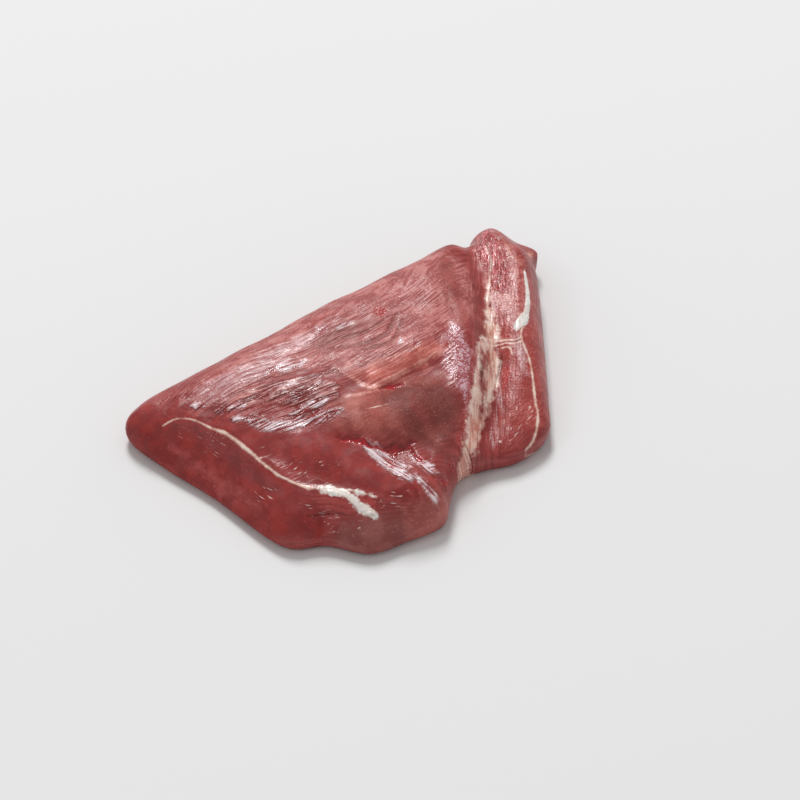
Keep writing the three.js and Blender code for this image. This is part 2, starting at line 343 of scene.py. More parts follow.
turn_under = np.linspace(0, math.pi / 2, TUCKED_RINGS + 1)[:, None]
reach = np.hypot(*(loop[:, :2] - MIDDLE).T)
tucked_size = 1 - UNDERSIDE_TUCK * (1 - np.cos(turn_under)) / reach
tucked = np.concatenate([
    MIDDLE + (loop[None, :, :2] - MIDDLE) * tucked_size[..., None],
    (loop[:, 2] * (1 - np.sin(turn_under)))[..., None],
], axis=2)
sole = tucked[-1] * (1, 1, 0)
sole_middle = np.append(MIDDLE, 0)
soles = np.concatenate([sole_middle + (sole - sole_middle) * size for size in SOLE_RINGS])
places = np.concatenate([
    np.column_stack([plan, top]), tucked.reshape(-1, 3), soles, sole_middle[None],
])
side_rise = np.concatenate([rise, np.zeros(len(places) - len(rise))])

# What the muscles are made of. Each tissue lies along smooth lines, whose points are x, y and half
# the width there, and in turned ovals: x, y, half length, half width, turn in degrees.
# Its edge is so many millimetres soft, and wanders by the ragged length. A tissue's colour runs
# from its dark to its light with the grain, gloss is its roughness, fibre how strongly the grain
# stands out and grit how far grains take the place of fibres. Thin makes its light streaks fewer,
# or more where it is below nought. Tissues lower in the list lie over those above them.
TISSUES = {
    # Pale fibres over the crown and the fibre ridge.
    "pale": dict(
        dark=(0.36, 0.052, 0.046), light=(0.55, 0.175, 0.160),
        soft=5.0, ragged=4.0, gloss=0.42, fibre=0.8, grit=0.4,
        lines=[
            [(-97, 38, 3), (-89, 33, 9), (-70, 24, 18), (-40, 25, 25), (0, 25, 30), (30, 25, 24),
             (46, 42, 16)],
            [(-70, 8, 5), (-42, 2, 10)],
        ],
    ),
    # The red muscle of the end strip.
    "strip": dict(
        dark=(0.38, 0.034, 0.026), light=(0.47, 0.076, 0.062),
        soft=4.0, ragged=3.0, gloss=0.42, fibre=0.15, grit=0.6,
        lines=[[(88, 54, 8), (80, 32, 11), (70, 8, 11), (60, -16, 11), (48, -36, 10), (36, -54, 8)]],
    ),
    # The strip's paler far half.
    "strip_top": dict(
        dark=(0.40, 0.058, 0.050), light=(0.58, 0.200, 0.185),
        soft=4.0, ragged=3.0, gloss=0.32, fibre=0.2, grit=0.7,
        lines=[[(87, 52, 6), (79, 32, 9), (70, 10, 8), (62, -8, 4)]],
    ),
    # The deep red of the cut face, from the nose to the front muscle.
    "deep": dict(
        dark=(0.25, 0.011, 0.009), light=(0.325, 0.019, 0.014),
        soft=1.8, ragged=1.4, gloss=0.72, fibre=0.05, grit=0.12,
        lines=[
            [(-122, 42, 9), (-114, 8, 10), (-106, -20, 12), (-95, -45, 11), (-86, -58, 5)],
            [(-80, -30, 4), (-66, -40, 9), (-55, -52, 10), (-46, -64, 9), (-38, -76, 5)],
            [(-110, 36, 3), (-101, 22, 3.5), (-94, 2, 5), (-86, -13, 6.5), (-78, -23, 7.5),
             (-68, -31, 8), (-58, -36, 8), (-50, -42, 6)],
            [(-70, -22, 3), (-62, -25.5, 4), (-54, -29, 4), (-49, -32, 2)],
        ],
    ),
    # A darker lens in the cut face, beside the tendon.
    "lens": dict(
        dark=(0.20, 0.014, 0.014), light=(0.28, 0.026, 0.024),
        soft=1.6, ragged=1.2, gloss=0.65, fibre=0.05, grit=0.12,
        lines=[[(-112, 29, 1.5), (-107, 21, 2.2), (-104, 12.5, 2.6), (-101.7, 3, 2.8),
                (-99.6, -7, 2.8), (-97.8, -18, 2.5), (-96, -28, 2.2), (-92.5, -38.5, 1.5)]],
    ),
    # A lighter rim outside the lens.
    "rim": dict(
        dark=(0.34, 0.034, 0.030), light=(0.42, 0.056, 0.050),
        soft=2.0, ragged=1.5, gloss=0.65, fibre=0.05, grit=0.2,
        lines=[[(-116.5, 24, 1), (-115, 15, 1.2), (-112, 4, 1.5), (-109, -8.7, 1.8),
                (-105.8, -22, 1.8), (-102.6, -35, 1.5)]],
    ),
    # The dusky foot of the cut face, at the front.
    "dusky": dict(
        dark=(0.26, 0.060, 0.052), light=(0.33, 0.088, 0.076),
        soft=5.0, ragged=4.0, gloss=0.60, fibre=0.15, grit=0.3,
        lines=[[(-78, -71, 4), (-66, -77, 7), (-54, -82, 6)]],
    ),
    # The dull foot of the front muscle.
    "dull": dict(
        dark=(0.38, 0.078, 0.064), light=(0.48, 0.114, 0.093),
        soft=5.0, ragged=4.0, gloss=0.55, fibre=0.20, grit=0.3,
        lines=[[(-46, -82, 4), (-38, -84, 7), (-28, -82, 5)]],
    ),
    # The thin brownish sheet of sinew in front of the crown.
    "sheet": dict(
        dark=(0.33, 0.053, 0.040), light=(0.42, 0.092, 0.070),
        soft=4.0, ragged=2.0, gloss=0.72, fibre=0.15, grit=0.3,
        lines=[
            [(-48, -18, 4), (-34, -26, 8), (-28, -38, 6)],
            [(-40, -14, 2), (-26, -20, 5), (-12, -22, 5), (4, -26, 4)],
            [(-52, -25, 2), (-42, -32, 5), (-30, -40, 6), (-18, -44, 5)],
        ],
    ),
    # Bare brown muscle beside the sheet.
    "brown": dict(
        dark=(0.17, 0.022, 0.015), light=(0.24, 0.040, 0.028),
        soft=5.0, ragged=2.0, gloss=0.75, fibre=0.12, grit=0.4,
        lines=[
            [(-24, -26, 5), (-10, -30, 9), (-2, -38, 9), (-10, -50, 6)],
            [(-22, -34, 5), (-20, -46, 6), (-16, -56, 4)],
        ],
    ),
    # The stripe on the step at the ridge, darker partly with painted shade of the step.
    "shaded_band": dict(
        dark=(0.28, 0.034, 0.026), light=(0.39, 0.068, 0.055),
        soft=1.8, ragged=1.5, gloss=0.50, fibre=0.20, grit=0.4,
        lines=[[(54, 42, 3), (46, 27, 4.5), (40, 13.5, 4), (34.5, 1, 3.2), (31, -7, 1.5)]],
    ),
    # Greyish veils on the crown and beside the seam.
    "grey": dict(
        dark=(0.34, 0.075, 0.066), light=(0.42, 0.130, 0.118),
        soft=3.0, ragged=3.0, gloss=0.53, fibre=0.8, grit=0.1,
        ovals=[(-18, 21, 19, 6, -4), (26, -32, 13, 3.5, 58)],
    ),
    # Silver skin along the top of the fibre ridge and in the strip, its light streaks partly painted
    # highlights.
    "silver_sheen": dict(
        dark=(0.48, 0.165, 0.165), light=(0.68, 0.390, 0.400),
        soft=3.0, ragged=2.5, gloss=0.36, fibre=0.8, grit=0.3,
        lines=[
            [(-101, 35, 1.5), (-95, 32, 5), (-88, 29.5, 7), (-80, 27.5, 7.5), (-73, 27.5, 6),
             (-66, 26.5, 4.5), (-58, 25, 3.5), (-48, 22, 2)],
            [(-62, 32, 1), (-52, 31, 3), (-42, 30, 3.5), (-32, 30, 3), (-24, 30, 1)],
            [(62, -6, 0.5), (58, -14, 1.5), (54, -24, 2), (49, -34, 1)],
        ],
    ),
    # The inside of the fibre ridge, its darkest red painted shade in the gaps between bundles.
    "heart": dict(
        dark=(0.21, 0.019, 0.015), light=(0.60, 0.27, 0.25),
        soft=2.0, ragged=2.0, gloss=0.30, fibre=1.0, grit=0.0, thin=0.08,
        lines=[
            [(-82, 22, 1), (-76, 20, 2.5), (-68, 17, 3.5), (-60, 13, 4), (-51, 9.5, 4), (-43, 5, 3.5),
             (-37, 1, 3)],
            [(-78, 12, 1), (-69, 9, 3), (-62, 6, 3.5), (-55, 3, 3.5), (-48, -2, 3.5), (-40, -6, 3)],
            [(-68, 0, 1), (-60, -3, 2.5), (-52, -6, 3), (-44, -9.5, 3)],
        ],
    ),
    # Red tongues of bare muscle that run into the ridge.
    "tongue": dict(
        dark=(0.27, 0.016, 0.013), light=(0.36, 0.030, 0.024),
        soft=1.2, ragged=1.0, gloss=0.50, fibre=0.3, grit=0.2,
        lines=[
            [(-108, 30, 3), (-96.7, 20, 2.5), (-92, 13, 2), (-86.4, 9, 2), (-79.4, 5.6, 2.8),
             (-73.8, 0.9, 3.2), (-69.3, -2.8, 2.8), (-64.5, -4.5, 1.5)],
            [(-76, 20.5, 0.5), (-69.8, 19.4, 1.3), (-64, 17.7, 1.6), (-57.6, 14.2, 1.8),
             (-50.4, 12, 1.8), (-43.8, 9, 1.6), (-38, 6, 1)],
            [(-42, 1, 2), (-37, -3, 3.5), (-35, -8, 4), (-39, -12, 3.5)],
        ],
    ),
    # A pink veil over the sheet's left edge.
    "veil": dict(
        dark=(0.44, 0.110, 0.085), light=(0.52, 0.150, 0.118),
        soft=2.5, ragged=1.5, gloss=0.65, fibre=0.2, grit=0.3,
        lines=[[(-34, -17, 1), (-40, -20, 3.5), (-44, -27, 3), (-44, -32, 1.5)]],
    ),
    # Wet tufts of fibre that glint, their near-white light streaks painted highlights.
    "tuft_and_highlight": dict(
        dark=(0.36, 0.045, 0.045), light=(0.90, 0.72, 0.75),
        soft=1.4, ragged=1.8, gloss=0.13, fibre=1.1, grit=0.0, thin=-0.03,
        lines=[
            [(-92, 9, 0), (-89.5, 7.6, 1), (-85, 3.9, 2), (-82, -2.2, 2), (-78.5, -7.4, 2.5),
             (-73.5, -10.5, 3.2), (-66, -12.8, 3.4), (-59.4, -15.5, 3.4), (-54, -18, 2.8),
             (-48, -19.5, 1.2)],
            [(-68, -7, 0.5), (-65, -7.9, 1.6), (-60, -8.5, 2.3), (-55, -9.7, 2.5), (-50, -10.4, 1.6)],
            [(9, 15, -0.6), (6, 11.3, -0.1), (2.7, 3.6, -0.3), (-2.5, -1.8, -0.7)],
            [(-29, 33, 0.0), (-23, 28, 0.4), (-17, 26, 0.4), (-10, 24.5, 0.0)],
            [(-64, 22.5, 0.5), (-60, 22.2, 1.5), (-54, 19.6, 2), (-48, 18, 1.5), (-43.5, 18.5, 0.5)],
            [(-93.5, 19.5, 0.3), (-90, 15.9, 1.5), (-86.9, 13.9, 1.6), (-82.8, 12.3, 0.8)],
            [(-101.5, 30.5, 0.3), (-98.2, 27.8, 1.3), (-95, 26.5, 0.6)],
            [(-74, 14.5, 0.2), (-66, 12, 0.5), (-58, 8.5, 0.6), (-50, 4.5, 0.4)],
            [(-74, 7, 0.2), (-66, 4.5, 0.6), (-58, 1, 0.7), (-50, -3, 0.5)],
        ],
    ),
    # Wet streaks on the front muscle, their white a painted highlight.
    "streak": dict(
        dark=(0.50, 0.130, 0.130), light=(0.93, 0.76, 0.79),
        soft=1.6, ragged=2.0, gloss=0.13, fibre=1.0, grit=0.1, thin=-0.04,
        lines=[
            [(-47.5, -38, 0.5), (-45.5, -43, 2.8), (-42.6, -49, 4.2), (-41, -56, 4.6),
             (-40.2, -62, 3.6), (-39.5, -68, 1.4)],
            [(-31.5, -51, 0.5), (-30, -57, 1.8), (-29.5, -62, 2.2), (-27, -67, 2.2), (-24.5, -70.5, 1)],
            [(-35.5, -67, 0.5), (-34, -73, 1), (-33.2, -78, 1.2), (-32.6, -82, 0.5)],
        ],
    ),
    # Skin beside the seam that glints in grains, its violet-white grains partly painted highlights.
    "lilac_glint": dict(
        dark=(0.44, 0.100, 0.115), light=(0.70, 0.44, 0.49),
        soft=3.0, ragged=3.0, gloss=0.17, fibre=0.1, grit=1.0,
        lines=[
            [(29, -1, 1), (27, -7, 3), (22.6, -17, 5), (17.8, -26.5, 5), (12.9, -35.7, 3.5),
             (10.5, -43, 1.5)],
            [(17, -10, 1), (14.5, -19, 2.5), (12, -28, 1.5)],
        ],
    ),
    # The salmon flap of membrane on the crown.
    "flap": dict(
        dark=(0.57, 0.110, 0.082), light=(0.70, 0.205, 0.160),
        soft=3.5, ragged=3.0, gloss=0.44, fibre=0.3, grit=0.3,
        lines=[[(-31, 2, 1), (-27, -6, 3), (-20, -10, 5.2), (-10, -10.5, 5), (2, -11, 4),
                (13, -11.5, 2.5), (18, -12, 1)]],
    ),
    # Pale folded edges of membrane.
    "fold": dict(
        dark=(0.60, 0.160, 0.120), light=(0.74, 0.30, 0.24),
        soft=1.2, ragged=0.8, gloss=0.36, fibre=0.3, grit=0.2,
        lines=[
            [(-35, 3, 0.0), (-33.6, -2, 0.4), (-31.3, -7.3, 0.5), (-28.8, -13.3, 0.7),
             (-25.6, -16, 1.0), (-19.3, -15.4, 1.0), (-10.5, -15.1, 0.7), (1.5, -14.4, 0.6),
             (13.3, -14, 0.5), (17.4, -14.8, 0.0)],
            [(-45, -13, 0.0), (-38, -15, 0.3), (-31, -17.5, 0.4), (-25, -19, 0.2)],
            [(94.5, 57, 0.2), (93, 51, 0.4), (89.5, 41, 0.5), (87.5, 30, 0.4), (88, 23, 0.2)],
            [(99, 38, 0.2), (104, 42, 1.2), (108, 45, 0.8)],
        ],
    ),
    # Clear red muscle beside the seam, and in spots.
    "red": dict(
        dark=(0.34, 0.028, 0.026), light=(0.48, 0.060, 0.056),
        soft=1.5, ragged=1.5, gloss=0.24, fibre=0.3, grit=0.5,
        lines=[
            [(33, -18, 1.0), (20, -33, 1.6), (12, -42.5, 1.6), (3.5, -51.5, 1.6), (-6.5, -60, 1.6),
             (-14, -66, 1.0)],
            [(47, -22, 1.5), (42, -30, 2), (36, -37, 1)],
        ],
        ovals=[(-25, -72.5, 4, 2, 0), (-28, -59, 2, 1.5, 0), (3.8, 24, 4, 2.8, 20),
               (-60, -67, 5, 2.5, -50)],
    ),
    # Creases in the crown's membrane, darkened with painted shade.
    "shaded_crease": dict(
        dark=(0.22, 0.034, 0.026), light=(0.30, 0.060, 0.048),
        soft=1.4, ragged=1.0, gloss=0.5, fibre=0.3, grit=0.2,
        lines=[
            [(-32, 18, 0.2), (-21.6, 12.4, 1.1), (-12.4, 8.7, 1.3), (-3.9, 8.5, 1.3), (4.7, 14.7, 1.0),
             (10, 19, 0.2)],
            [(-34, 21.5, 0.2), (-20, 19, 0.8), (-10.6, 16.1, 1.0), (-2.9, 16.4, 0.9), (5, 19, 0.2)],
            [(-21, 8, 0.2), (-12.6, 4, 0.9), (-4.9, 2.5, 1.0), (2.6, 6.9, 0.8), (11, 15.5, 0.2)],
            [(-30, 26, 0.0), (-20, 22.5, 0.5), (-12, 21.5, 0.0)],
        ],
    ),
    # The wet far end of the strip.
    "corner": dict(
        dark=(0.46, 0.050, 0.056), light=(0.66, 0.19, 0.20),
        soft=3.0, ragged=3.0, gloss=0.14, fibre=1.1, grit=0.5,
        lines=[[(88, 58, 4), (82, 45, 6), (77, 32, 5), (70, 18, 3)]],
    ),
    # Narrow cracks in the seam, near black with painted shade.
    "shaded_crack": dict(
        dark=(0.12, 0.012, 0.010), light=(0.20, 0.025, 0.020),
        soft=0.5, ragged=0.4, gloss=0.3, fibre=0.2, grit=0.0,
        lines=[
            [(48, -17, 0.3), (44, -21.5, 0.9), (38.5, -27.5, 0.6), (33, -33, 0.2)],
            [(31.5, -22, 0.2), (29.5, -26.5, 0.8), (25.5, -32.5, 0.3)],
        ],
    ),
    # The lump of fat at the tendon's end.
    "fat": dict(
        dark=(0.76, 0.55, 0.46), light=(0.90, 0.83, 0.77),
        soft=0.8, ragged=1.5, gloss=0.30, fibre=0.2, grit=0.4,
        lines=[
            [(-81, -46, 0.9), (-77.8, -47.8, 1.5), (-72.8, -52, 1.8), (-68.7, -57, 1.8),
             (-66.8, -62.8, 1.5), (-64.6, -68, 1.9), (-61.8, -71.5, 1.4)],
            [(-72, -53, 0.8), (-65.4, -58, 0.5), (-62.2, -61.7, 0.5), (-58.7, -65.2, 0.3),
             (-55.7, -69.1, 0.5)],
        ],
    ),
    # The creamy fat of the seam.
    "cream": dict(
        dark=(0.84, 0.48, 0.39), light=(0.97, 0.78, 0.68),
        soft=1.5, ragged=1.8, gloss=0.28, fibre=0.25, grit=0.15,
        lines=[
            [(66, 22, 0.2), (60, 14, 0.9), (56, 7, 2.0), (52.5, 0, 2.6), (48, -7, 2.4), (43, -12, 2.0),
             (36, -16, 1.6)],
            [(57.5, 3, 0.4), (54, -3, 1.4), (50, -8, 1.6)],
            [(34.5, -17, 1.2), (26, -28, 1.1), (20.5, -36, 1.5), (15.5, -42, 2.2), (10, -49, 2.9),
             (2.5, -57, 2.5), (-4, -61.5, 1.8), (-8, -64, 0.9)],
            [(44.5, -14.5, 1.4), (42, -20.5, 2.0), (36.5, -26, 2.3), (29, -34, 2.0), (21.5, -42, 1.5),
             (14.5, -49, 0.7)],
        ],
    ),
    # Peach fat at the seam's foot, and spots of it in the seam.
    "peach": dict(
        dark=(0.66, 0.22, 0.15), light=(0.88, 0.52, 0.41),
        soft=2.5, ragged=1.5, gloss=0.32, fibre=0.3, grit=0.2,
        lines=[
            [(22, -36, 0), (17, -42, 0.8), (11, -49, 1.6), (3.5, -57, 1.6), (-4, -61.5, 1.2),
             (-8, -64, 0.6)],
        ],
        ovals=[(50, -3, 2.0, 1.2, 60), (33, -28, 3.5, 1.0, 50), (41, -17, 2.5, 1.0, 60)],
    ),
    # The long tendon, and thin threads of the same kind.
    "thread": dict(
        dark=(0.82, 0.48, 0.39), light=(0.95, 0.74, 0.63),
        soft=0.55, ragged=0.25, gloss=0.30, fibre=0.1, grit=0.2,
        lines=[
            [(-116, 33.3, 0.0), (-113, 32.4, 0.1), (-109, 29.9, 0.1), (-104.8, 23.3, 0.1),
             (-101.7, 16.5, 0.25), (-99.1, 8.7, 0.45), (-96.5, 1, 0.6), (-94.8, -5, 0.7),
             (-93, -12.4, 0.55), (-91.8, -21, 0.45), (-90, -30, 0.4), (-87, -36, 0.45),
             (-84, -41, 0.7), (-80, -46.5, 1.2)],
            [(-40, -25.6, -0.4), (-35, -28.2, 0.0), (-27.6, -29.2, 0.0), (-21, -29.6, -0.4)],
            [(-92, -17, 0.2), (-89.2, -19.1, 0.15), (-85.9, -20, -0.2)],
            [(-89.5, -13, -0.2), (-87.5, -14, 0.0), (-85.6, -14.8, -0.2)],
            [(83, 50, 0.0), (78.4, 39, 0.3), (71.1, 28.9, 0.4), (64.6, 20, 0.5), (59, 13, 0.7),
             (55, 6, 0.7)],
            [(38, -11.5, 0.3), (43, -9, 0.5), (48, -8, 0.5), (51.9, -11.4, 0.4), (56, -15, 0.4),
             (60.5, -16, 0.5)],
            [(36, -15, 0.4), (42, -12, 0.5), (46.4, -10.5, 0.4), (51, -13, 0.3), (54.6, -16.4, 0.4),
             (59, -18, 0.4)],
            [(66, -9, 0.2), (60.5, -14.4, 0.5), (58.2, -20.5, 0.5), (56.7, -27.2, 0.4),
             (53.5, -34.5, 0.4), (49.2, -42.7, 0.5), (45.2, -50.4, 0.6), (43, -55.5, 0.5),
             (38.3, -61.6, 0.5), (33.3, -65.7, 0.4), (27.3, -67.7, 0.1)],
            [(49, -14, 0.2), (52, -17.5, 0.3), (50.5, -22, 0.2)],
        ],
    ),
    # The strip's white tendon, and white spots in the fat.
    "white": dict(
        dark=(0.72, 0.62, 0.56), light=(0.90, 0.86, 0.82),
        soft=0.3, ragged=0.3, gloss=0.24, fibre=0.3, grit=0.2,
        lines=[
            [(88.5, 24, 0.0), (86.4, 20.6, 0.5), (83.3, 14.2, 0.8), (79, 6.9, 1.0), (74, 0, 1.3),
             (70, -5, 1.4)],
            [(59.5, -11.5, 0.6), (62.5, -9, 2.0), (66.5, -7, 2.6), (70, -4.5, 1.8)],
        ],
        ovals=[(-63, -71.5, 2.0, 1.2, -50), (-73.5, -53.5, 2.4, 1.2, -50)],
    ),
    # Wet blood in the crevice and beside it.
    "blood": dict(
        dark=(0.22, 0.004, 0.008), light=(0.45, 0.010, 0.018),
        soft=0.8, ragged=1.2, gloss=0.08, fibre=0.3, grit=0.3,
        lines=[
            [(-57, -31, 0.4), (-50.5, -35, 1.6), (-47.3, -38.4, 1.6), (-44.2, -42.2, 0.9),
             (-39.7, -45.8, 0.9), (-36.4, -48, 1.8), (-33, -50, 2.0), (-29.6, -52, 1.2)],
            [(-27.6, -50.4, 0.6), (-28.7, -55.4, 0.8), (-29.5, -60.2, 1.0)],
            [(-24, -72.3, 1.2), (-24, -74, 0.8), (-25, -78, 0.7), (-27.5, -81, 0.4)],
            [(-23.7, -18, 0.4), (-20, -18, 1.0), (-16, -19.5, 1.3), (-12, -20, 0.6)],
        ],
        ovals=[(-28.7, -59.5, 2.6, 0.9, -85), (-23.5, -72.3, 3.0, 1.2, 0), (-26.5, -50, 2.2, 1.0, 0)],
    ),
}
# How far a tissue stands out of the muscle, or lies in it where the lift is below nought. The lift
# comes in over the ramp, and part of it is already there at the tissue's edge.
LIFTS = {
    "fat": 0.45, "cream": 0.3, "thread": 0.35, "shaded_crease": -0.2, "white": 0.5,
    "flap": 0.2, "fold": 0.25, "blood": -0.9, "shaded_crack": -0.8, "brown": 0.2,
}
LIFT_RAMP = 1.6
LIFT_AT_EDGE = 0.4
# The depth inside a tissue of a place that is nowhere near it.
OUTSIDE = -9.0


def tissue_depth(tissue, x, y):
    """How far inside a tissue a place lies, below 0 outside: half a line's width less the distance
    to it, or for an oval the share left to its edge times its half width."""
    depth = np.full_like(x, OUTSIDE)
    for points in tissue.get("lines", ()):
        (_, _, half), distance, _, _ = beside(points, x, y)
        depth = np.maximum(depth, half - distance)
    for centre_x, centre_y, half_length, half_width, turn in tissue.get("ovals", ()):
        c, s = math.cos(math.radians(turn)), math.sin(math.radians(turn))
        along = ((x - centre_x) * c + (y - centre_y) * s) / half_length
        across = ((y - centre_y) * c - (x - centre_x) * s) / half_width
        depth = np.maximum(depth, (1 - np.hypot(along, across)) * half_width)
    return depth


def share_of(area, x, y, fade, at_edge=0.5):
    """The share an area has at a place: its depth there over the fade, eased from 0 to 1, with the
    given share at the area's edge."""
    return ease(tissue_depth(area, x, y) / fade + at_edge)


x, y, z = places.T.copy()
depths = {name: tissue_depth(tissue, x, y) for name, tissue in TISSUES.items()}

# The threads are thinner than the mesh is fine, so the shader takes them from the distance across
# each, which runs straight between the vertices and has a sign for its side. Past a thread's ends
# its half width shrinks by the taper for each millimetre.
THREAD_TAPER = 1.5

threads = []
for points in TISSUES["thread"]["lines"]:
    (_, _, half), distance, share, side = beside(points, x, y)
    past_end = (share <= 0) | (share >= 1)
    threads.append((distance * side, half - THREAD_TAPER * distance * past_end))

# The grain. Over the top the fibres swing from the nose along the piece, by a slope for each x, and
# they turn down over the far edge. On the sides they run level round the piece. In the tufts, at
# the front corner and in the end strip they run across it, turned by so many degrees.
GRAIN_X = (-130, -105, -92, -80, -62, -45, -28, 0, 30, 60, 115)
GRAIN_SLOPE = (0.25, 0.25, 0.02, -0.18, -0.20, -0.12, -0.03, 0.10, 0.30, 0.45, 0.5)
GRAIN_STEPS = 246
FAR_EDGE_Y = 34
FAR_EDGE_WIDTH = 16
FAR_EDGE_HEIGHT = 30
ROUND_RADIUS = 70
LEVEL_STRETCH = 1.2
CROSS_CENTRE = (-70, -10)
STRIP_FROM_X = 0
STRIP_TURN = 56
TUFTS_FROM_Y = -32
TUFT_X = (-85, -55)
TUFT_TURNS = (-8, 4)
FRONT_TURN = -72

grain_steps = np.linspace(GRAIN_X[0], GRAIN_X[-1], GRAIN_STEPS)
swing = np.cumsum(np.interp(grain_steps, GRAIN_X, GRAIN_SLOPE)) * (grain_steps[1] - grain_steps[0])
over_edge = np.clip((y - FAR_EDGE_Y) / FAR_EDGE_WIDTH, 0, 1) * (FAR_EDGE_HEIGHT - z)
grain = np.stack([x, y - np.interp(x, grain_steps, swing) + over_edge, z], 1)
round_way = ROUND_RADIUS * np.arctan2(x - MIDDLE[0], MIDDLE[1] - y)
level_grain = np.stack([round_way, z * LEVEL_STRETCH, z], 1)
near_turn = np.where(y > TUFTS_FROM_Y, np.interp(x, TUFT_X, TUFT_TURNS), FRONT_TURN)
cross_turn = np.radians(np.where(x > STRIP_FROM_X, STRIP_TURN, near_turn))
cross_x, cross_y = x - CROSS_CENTRE[0], y - CROSS_CENTRE[1]
cross_grain = np.stack([
    cross_x * np.cos(cross_turn) + cross_y * np.sin(cross_turn),
    cross_y * np.cos(cross_turn) - cross_x * np.sin(cross_turn), z,
], 1)
# Where short pale dashes are painted as highlights: on the cut face on both sides of the tendon, at
# the front corner, and in the strip's far half and its foot.
GLINT_DASH_AREA = dict(
    lines=[
        [(-110, 22, 2), (-105, 14, 3), (-102, 3, 3)],
        [(-104, -26, 1), (-97, -34, 3)],
        [(-88, -50, 1), (-80, -62, 3), (-70, -73, 2)],
        [(-90, -24, 1), (-84, -32, 3), (-74, -40, 4), (-66, -44, 2)],
        [(-55, -70, 2), (-46, -74, 3)],
        [(86, 48, 6), (78, 30, 8), (70, 14, 6)],
        [(40, -52, 5), (22, -58, 5)],
    ],
)
# Where the grain runs level, and where it runs across.
LEVEL_AREA = dict(
    lines=[
        [(-122, 42, 10), (-113, 8, 11), (-105, -20, 13), (-94, -45, 12), (-78, -52, 10),
         (-60, -62, 14), (-44, -74, 8)],
        [(60, -50, 8), (78, -12, 8), (98, 22, 8)],
    ],
)
CROSS_AREA = dict(
    lines=[
        [(-46, -41, 3), (-42, -52, 6), (-37, -64, 7), (-31, -76, 7), (-29, -84, 4)],
        [(86, 58, 8), (76, 34, 13), (62, 10, 14), (46, -14, 14), (30, -38, 14), (10, -56, 10),
         (-6, -66, 5)],
        [(-92, 12, 1), (-82, -2, 3), (-72, -12, 4), (-61, -19, 4), (-51, -22, 3)],
    ],
)
# On the near side the grain also runs level over the lower part of the side's rise.
LEVEL_RISE = 0.55
LEVEL_RISE_FADE = 0.3
NEAR_SIDE_Y = 20

glint_dash_share = share_of(GLINT_DASH_AREA, x, y, fade=3)
level_share = share_of(LEVEL_AREA, x, y, fade=6)
low_on_side = ease((LEVEL_RISE - side_rise) / LEVEL_RISE_FADE) * (y < NEAR_SIDE_Y)
level_share = np.maximum(level_share, low_on_side)
cross_share = share_of(CROSS_AREA, x, y, fade=4)

# Relief. Gaps part the fibres into bundles, deepest in the fibre ridge and hardly there on smooth
# tissues, and low lumps lie over the whole. It fades out down the sides.
COARSE_AREA = dict(lines=[[(-104, 41, 5), (-93, 22, 9), (-80, 10, 12), (-66, -2, 12), (-50, -14, 7)]])
PARTING = 0.34
COARSE_GAP = 0.35
CROSS_GAP = 0.03
TOP_GAP = 0.08
SMOOTH_TISSUES = ("brown", "sheet", "lilac_glint", "cream", "strip", "strip_top")
SMOOTH_FADE = 4
SMOOTHED = 0.8
LUMP_SIZE = 7.0
LUMP_HEIGHT = 0.15
RISE_FADE = 0.3
RELIEF_FROM = 8
RELIEF_FADE = 8
# Soft tissue fills this share of two grooves of the solid: the step at the ridge and the crevice.
FILLED = 0.8
FILLED_GROOVES = GROOVES[1:3]


def bundles(field, length, width, seed):
    """Smooth noise from -1 to 1, drawn out to a length along a grain and a width across it."""
    return noise(field[:, 0] / length, field[:, 1] / width, 1.0, seed)


coarse = share_of(COARSE_AREA, x, y, fade=6, at_edge=0.4)
along_bundles = bundles(grain, 17, 2.2, 11) + 0.3 * bundles(grain, 8, 1, 12)
cross_bundles = bundles(cross_grain, 6, 1.7, 13)
parted = np.exp(-((along_bundles / PARTING) ** 2))
parted += (np.exp(-((cross_bundles / PARTING) ** 2)) - parted) * cross_share
smooth = ease(np.maximum.reduce([depths[name] for name in SMOOTH_TISSUES]) / SMOOTH_FADE + 0.5)
gap_depth = COARSE_GAP * coarse + CROSS_GAP * cross_share + TOP_GAP * (1 - level_share)
gap_depth *= 1 - SMOOTHED * smooth
lumps = noise(x, y, LUMP_SIZE, 14) + 0.5 * noise(x, y, LUMP_SIZE / 2, 15)
relief = LUMP_HEIGHT * lumps - gap_depth * parted
for groove in FILLED_GROOVES:
    relief[:len(top)] += FILLED * groove_depth(x[:len(top)], y[:len(top)], (groove,))
for name, lift in LIFTS.items():
    relief += lift * ease(depths[name] / LIFT_RAMP + LIFT_AT_EDGE)
relief *= ease(side_rise / RISE_FADE) * ease((z - RELIEF_FROM) / RELIEF_FADE)
z = np.minimum(z + relief, top.max())

# The mesh, in metres round the middle of the solid's box.
count = len(loop)
grid_index = np.arange((ALONG + 1) * (ACROSS + 1)).reshape(ACROSS + 1, ALONG + 1)
edge_index = np.concatenate([
    grid_index[::-1, 0][:-1], grid_index[0, :-1], grid_index[:-1, -1], grid_index[-1, ::-1][:-1],
])
first_ring = grid_index.size
ring_index = first_ring + np.arange(len(places) - 1 - first_ring).reshape(-1, count)
rings = np.vstack([edge_index, ring_index])
following = np.roll(rings, -1, axis=1)
top_quads = np.stack([
    grid_index[:-1, :-1], grid_index[:-1, 1:], grid_index[1:, 1:], grid_index[1:, :-1],
], -1)
side_quads = np.stack([rings[:-1], rings[1:], following[1:], following[:-1]], -1)
fan = np.stack([rings[-1], np.full(count, len(places) - 1), following[-1]], -1)
corner_index = np.concatenate([top_quads.ravel(), side_quads.ravel(), fan.ravel()])
quad_count = (len(corner_index) - fan.size) // 4
face_start = np.concatenate([np.arange(quad_count) * 4, quad_count * 4 + np.arange(count) * 3])

